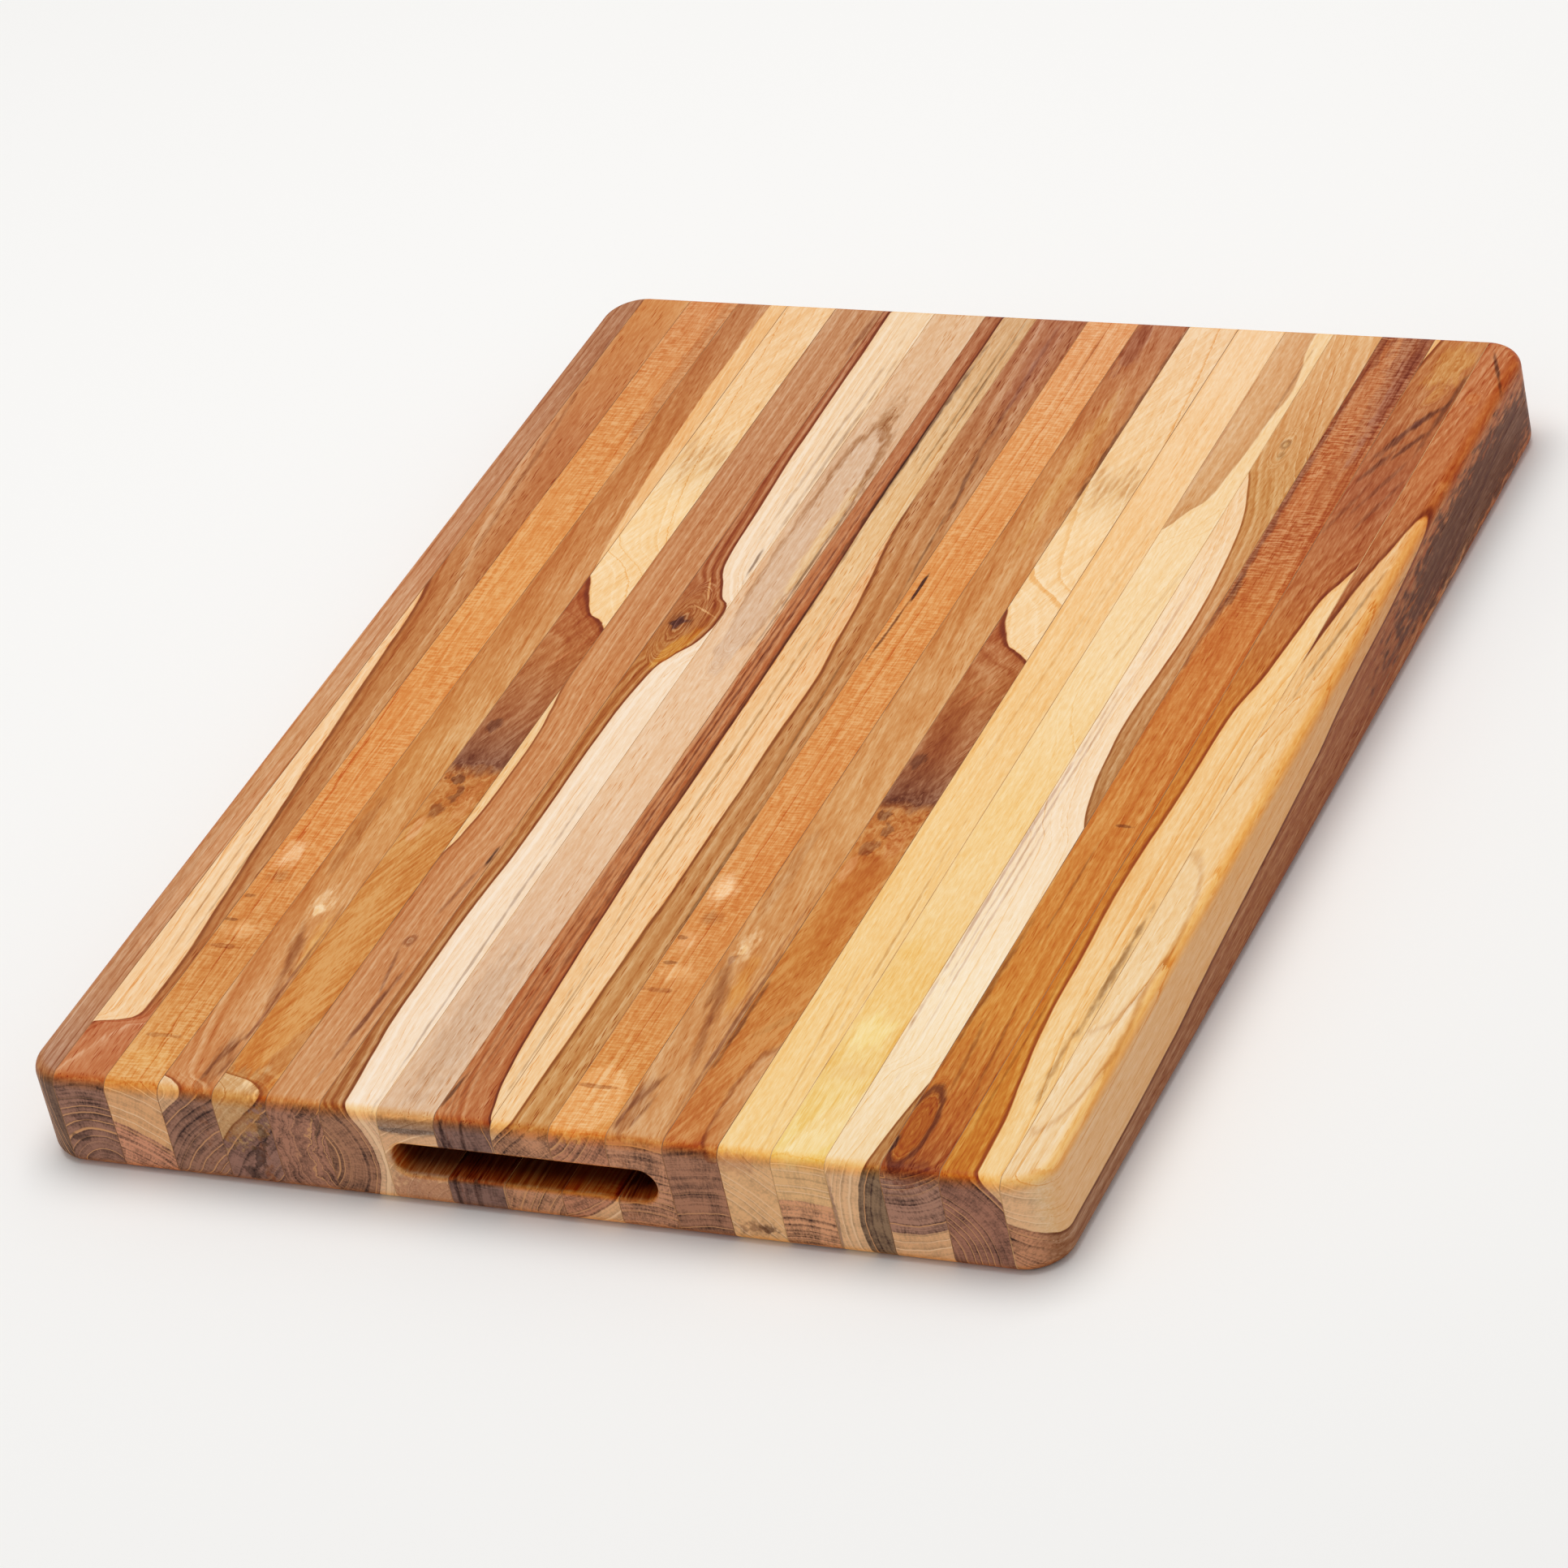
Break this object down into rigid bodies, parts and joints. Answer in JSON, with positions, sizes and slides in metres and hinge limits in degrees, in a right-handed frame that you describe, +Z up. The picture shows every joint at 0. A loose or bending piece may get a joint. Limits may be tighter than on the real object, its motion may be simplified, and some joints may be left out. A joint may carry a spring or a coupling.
{
  "type": "edge-grain cutting board",
  "caption": "Thick reversible wooden cutting board of glued edge-grain staves, with rounded corners and edges and a routed finger grip in each end.",
  "frame": {"origin": "centre of the underside, on the surface that the board lies on", "axes": "+X across the staves, +Y along the grain towards the far end, +Z up through the thickness"},
  "size_m": [0.381, 0.508, 0.0381],
  "materials": {
    "teak_golden": "oiled satin, golden-orange heartwood with fine dark pores",
    "teak_brown": "oiled satin, red-brown heartwood with dark growth rings",
    "teak_sapwood": "oiled satin, cream to straw sapwood",
    "teak_mixed": "oiled satin, heartwood and sapwood in one stave",
    "glue_film": "cured waterproof wood glue, dark brown"
  },
  "bodies": {
    "root": {"stave_01": "teak_mixed", "stave_02": "teak_golden", "stave_03": "teak_golden", "stave_04": "teak_golden", "stave_05": "teak_mixed", "stave_06": "teak_golden", "stave_07": "teak_mixed", "stave_08": "teak_mixed", "stave_09": "teak_brown", "stave_10": "teak_mixed", "stave_11": "teak_golden", "stave_12": "teak_golden", "stave_13": "teak_mixed", "stave_14": "teak_sapwood", "stave_15": "teak_sapwood", "stave_16": "teak_mixed", "stave_17": "teak_brown", "stave_18": "teak_mixed", "stave_19": "teak_mixed", "glue_line_01": "glue_film", "glue_line_02": "glue_film", "glue_line_03": "glue_film", "glue_line_04": "glue_film", "glue_line_05": "glue_film", "glue_line_06": "glue_film", "glue_line_07": "glue_film", "glue_line_08": "glue_film", "glue_line_09": "glue_film", "glue_line_10": "glue_film", "glue_line_11": "glue_film", "glue_line_12": "glue_film", "glue_line_13": "glue_film", "glue_line_14": "glue_film", "glue_line_15": "glue_film", "glue_line_16": "glue_film", "glue_line_17": "glue_film", "glue_line_18": "glue_film"}
  },
  "joints": []
}
